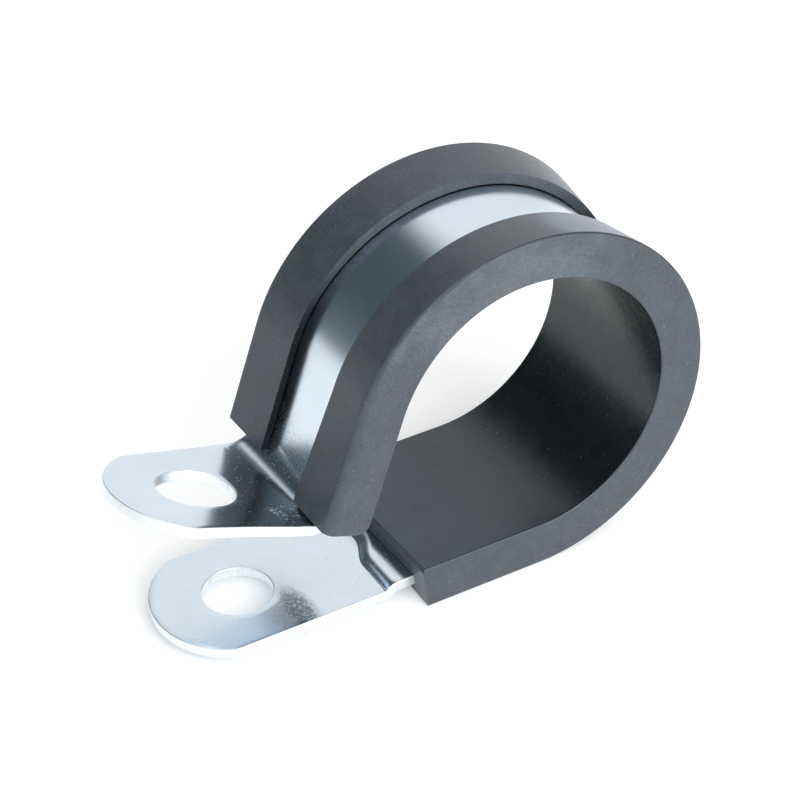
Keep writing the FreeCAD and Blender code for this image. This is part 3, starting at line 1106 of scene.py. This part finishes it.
class PCLIP_OT_set_studio(Operator):
    """Sets the floor, the soft light and the camera"""

    bl_idname = "pclip.set_studio"
    bl_label = "Set the studio"

    def execute(self, context):
        studio = context.scene.clip_studio
        bpy.ops.object.select_all(action="DESELECT")
        bpy.ops.mesh.primitive_plane_add(
            size=studio.floor_width, location=(0, 0, CAD_BOX[0].z))
        floor = context.object
        floor.name = floor.data.name = "studio_floor"
        floor.data.materials.append(pale_floor(context))
        self.light_dome(context, studio)
        self.light_front(studio)
        self.place_camera(context, studio)
        context.scene.view_settings.view_transform = "Standard"
        return {"FINISHED"}

    def light_dome(self, context, studio):
        """White light from everywhere but one soft-edged part, which the steel reflects."""
        world = bpy.data.worlds.new("studio_dome")
        context.scene.world = world
        world.use_nodes = True
        tree = world.node_tree
        tree.nodes.clear()
        towards = add_node(tree, "ShaderNodeTexCoord").outputs["Generated"]
        middle = (Matrix.Rotation(studio.shade_azimuth, 3, "Z")
                  @ Matrix.Rotation(studio.shade_elevation, 3, "X") @ Vector((0, 1, 0)))
        facing = add_node(tree, "ShaderNodeVectorMath", {
            0: towards, 1: middle}, operation="DOT_PRODUCT").outputs["Value"]
        lit = levels(
            tree, facing, math.cos(studio.shade_width - studio.shade_blur),
            math.cos(studio.shade_width + studio.shade_blur))
        height = axes(tree, towards)["Z"]
        shade = blend_colours(
            tree, levels(tree, height, 0.0, studio.shade_rise), studio.shade_low, studio.shade)
        colour = blend_colours(tree, lit, shade, (1, 1, 1))
        sky = add_node(tree, "ShaderNodeBackground", {"Color": colour, "Strength": studio.dome})
        plain = add_node(tree, "ShaderNodeBackground", {"Color": (1, 1, 1, 1)})
        seen = add_node(tree, "ShaderNodeLightPath").outputs["Is Camera Ray"]
        both = add_node(tree, "ShaderNodeMixShader", {
            0: seen, 1: sky.outputs[0], 2: plain.outputs[0]})
        add_node(tree, "ShaderNodeOutputWorld", {"Surface": both.outputs[0]})

    def light_front(self, studio):
        """A large soft light in front, which whitens the edges and the side of the lining."""
        place = Vector(studio.key_place)
        bpy.ops.object.light_add(
            type="AREA", location=place, rotation=place.to_track_quat("Z", "Y").to_euler())
        light = bpy.context.object
        light.name = light.data.name = "front_softbox"
        light.data.size = studio.key_width
        light.data.energy = studio.key

    def place_camera(self, context, studio):
        """Puts the camera on the line of sight through the aim."""
        turn = (Matrix.Rotation(studio.azimuth, 3, "Z")
                @ Matrix.Rotation(math.pi / 2 - studio.elevation, 3, "X")
                @ Matrix.Rotation(studio.roll, 3, "Z"))
        place = Vector(studio.aim) + turn @ Vector((0, 0, studio.distance))
        bpy.ops.object.camera_add(location=place, rotation=turn.to_euler())
        camera = bpy.context.object
        camera.name = camera.data.name = "studio_camera"
        camera.data.lens = studio.lens
        camera.data.clip_start = studio.distance / 100
        context.scene.camera = camera


class PCLIP_PT_build(Panel):
    """Lists the steps that build the clip"""

    bl_idname = "PCLIP_PT_build"
    bl_label = "Cushioned P clip"
    bl_space_type = "VIEW_3D"
    bl_region_type = "UI"
    bl_category = "P clip"

    def draw(self, context):
        for step in STEPS:
            self.layout.operator(step.bl_idname)


SETTINGS = {
    "clip_strip": StripSizes,
    "clip_lining": LiningSizes,
    "clip_finishes": Finishes,
    "clip_studio": StudioSettings,
}
STEPS = (PCLIP_OT_set_studio, PCLIP_OT_bend_strip, PCLIP_OT_mould_lining)


def register():
    """Registers the settings, the steps and the panel."""
    for name, group in SETTINGS.items():
        bpy.utils.register_class(group)
        setattr(bpy.types.Scene, name, PointerProperty(type=group))
    for item in STEPS + (PCLIP_PT_build,):
        bpy.utils.register_class(item)


def unregister():
    """Takes back what register added."""
    for item in reversed(STEPS + (PCLIP_PT_build,)):
        bpy.utils.unregister_class(item)
    for name, group in reversed(SETTINGS.items()):
        delattr(bpy.types.Scene, name)
        bpy.utils.unregister_class(group)


def main():
    """Builds the clip and its studio."""
    register()
    bpy.ops.pclip.set_studio()
    bpy.ops.pclip.bend_strip()
    bpy.ops.pclip.mould_lining()


if __name__ == "__main__":
    main()
